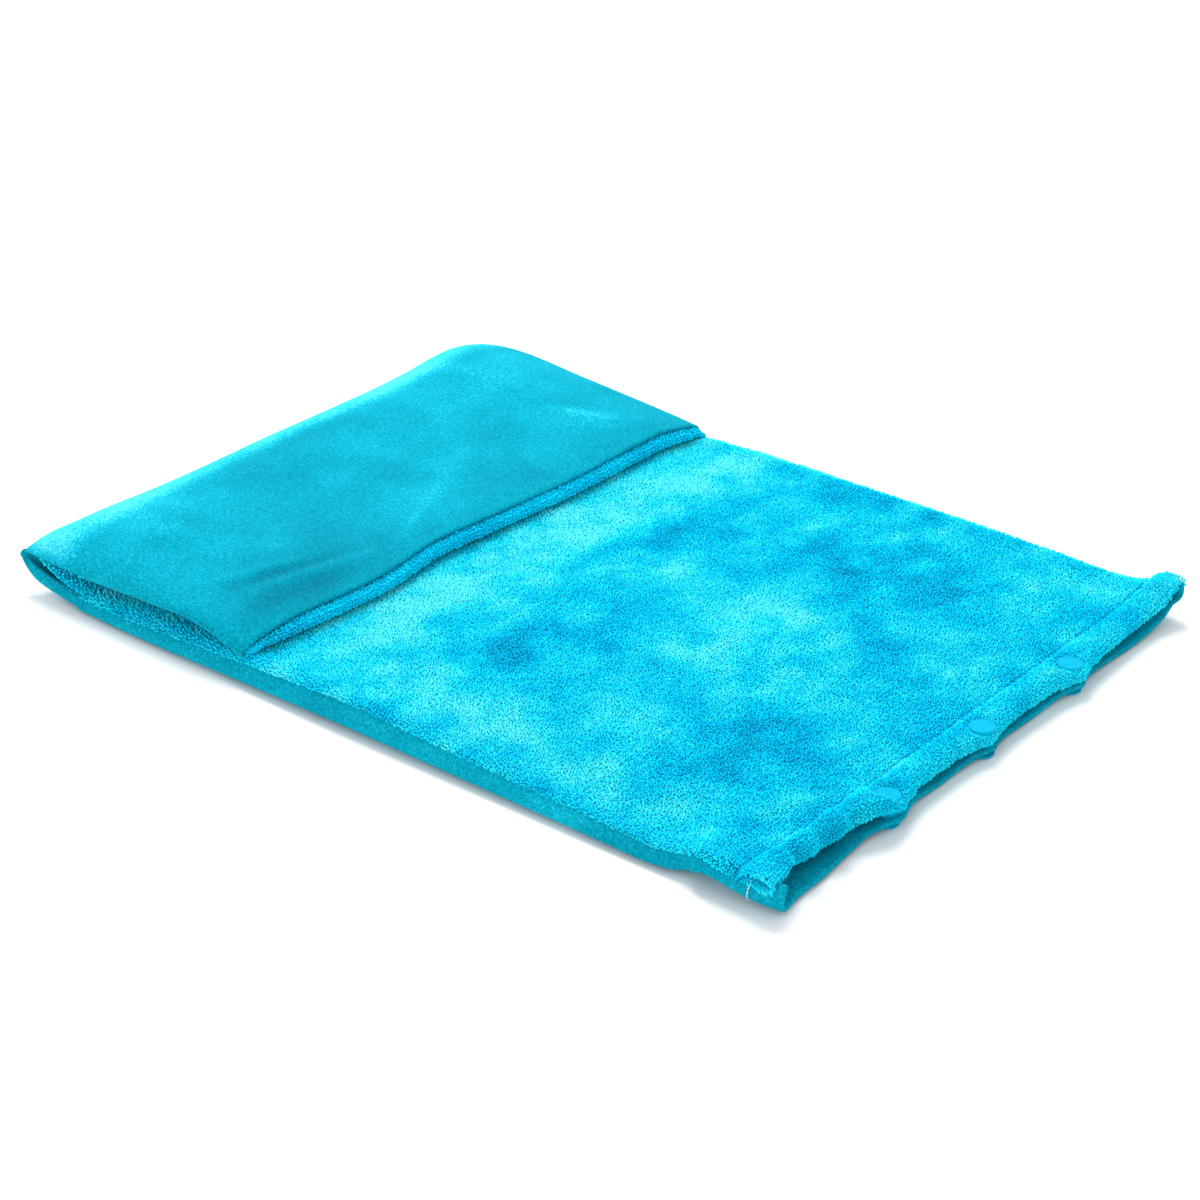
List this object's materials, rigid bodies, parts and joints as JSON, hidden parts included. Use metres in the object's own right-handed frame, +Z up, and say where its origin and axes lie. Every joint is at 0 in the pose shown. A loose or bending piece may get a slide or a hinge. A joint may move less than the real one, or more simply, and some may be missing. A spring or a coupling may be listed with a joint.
{
  "type": "snap-mouth plush pouch",
  "caption": "Flat fabric pouch with a plush front, a velour back and a snap-fastened mouth, its closed end folded over.",
  "frame": {"origin": "on the floor under the middle of the folded pouch", "axes": "+X from the fold to the snap mouth, +Y across the pouch, +Z up from the velour back to the plush front"},
  "size_m": [0.4419, 0.334, 0.042],
  "materials": {
    "plush": "coral fleece, granular pile",
    "velour": "short brushed velour",
    "snap": "moulded, slightly glossy",
    "thread": "spun polyester thread"
  },
  "bodies": {
    "base": {"back_panel": "velour", "far_side_wrap": "velour", "near_side_wrap": "velour", "lower_hem": "velour", "far_hem_wrap": "velour", "near_hem_wrap": "velour", "front_panel": "plush", "far_corner_panel": "plush", "near_corner_panel": "plush", "far_hem_end": "plush", "near_hem_end": "plush", "lower_cap_near": "snap", "stud_near": "snap", "lower_cap_middle": "snap", "stud_middle": "snap", "lower_cap_far": "snap", "stud_far": "snap", "near_side_seam": "thread", "far_side_seam": "thread", "far_hem_stitching": "thread", "near_hem_stitching": "thread", "lower_hem_stitching": "thread"},
    "fold": {"back_lower_bend": "velour", "back_upper_bend": "velour", "front_lower_bend": "plush", "front_upper_bend": "plush"},
    "flap": {"flap_back_panel": "velour", "flap_front_panel": "plush", "flap_edge_roll": "plush", "near_flap_seam": "thread", "far_flap_seam": "thread", "flap_end_seam": "thread"},
    "lip": {"lip_panel": "plush", "upper_hem": "plush", "upper_hem_stitching": "thread", "socket_near": "snap", "upper_cap_near": "snap", "socket_middle": "snap", "upper_cap_middle": "snap", "socket_far": "snap", "upper_cap_far": "snap"}
  },
  "joints": [
    {"name": "fold_lower", "type": "hinge", "parent": "base", "child": "fold", "pos_m": [-0.21649, 0, 0.00451], "axis": [0, -1, 0], "range_deg": [0, 90], "deforming": ["back_lower_bend", "front_lower_bend"]},
    {"name": "fold_upper", "type": "hinge", "parent": "fold", "child": "flap", "pos_m": [-0.21649, 0, 0.03749], "axis": [0, -1, 0], "range_deg": [0, 90], "deforming": ["back_upper_bend", "front_upper_bend"]},
    {"name": "lip_lift", "type": "hinge", "parent": "base", "child": "lip", "pos_m": [0.11, 0, 0.0145], "axis": [0, -1, 0], "range_deg": [0, 22]}
  ],
  "couplings": [
    {"joint": "fold_upper", "follows": "fold_lower", "ratio": 1}
  ]
}
